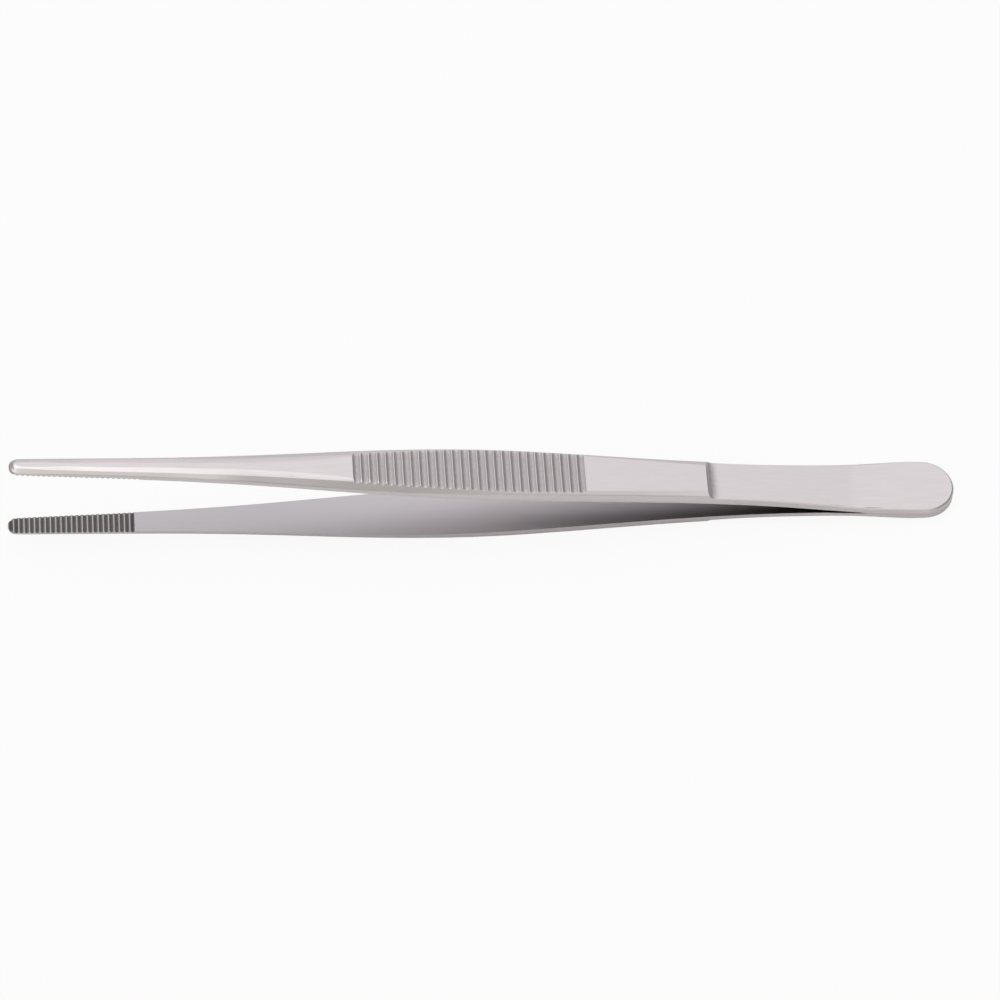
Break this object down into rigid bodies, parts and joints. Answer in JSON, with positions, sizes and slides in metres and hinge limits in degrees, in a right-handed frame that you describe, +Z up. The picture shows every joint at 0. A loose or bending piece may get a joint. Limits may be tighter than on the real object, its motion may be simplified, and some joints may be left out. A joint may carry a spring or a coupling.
{
  "type": "thumb forceps",
  "caption": "Slim steel thumb forceps: two spring arms joined at a rounded heel, with cross-grooved finger grips and fine cross teeth inside blunt round tips.",
  "frame": {"origin": "at the table that the forceps lies on, below the middle of the bounding box", "axes": "+X along the forceps from the tips to the heel, +Y across the arms' width, +Z up, the way the arms open"},
  "size_m": [0.1452, 0.0096, 0.0188],
  "materials": {
    "steel": "satin"
  },
  "bodies": {
    "root": {"upper_arm": "steel", "lower_arm": "steel"}
  },
  "joints": []
}
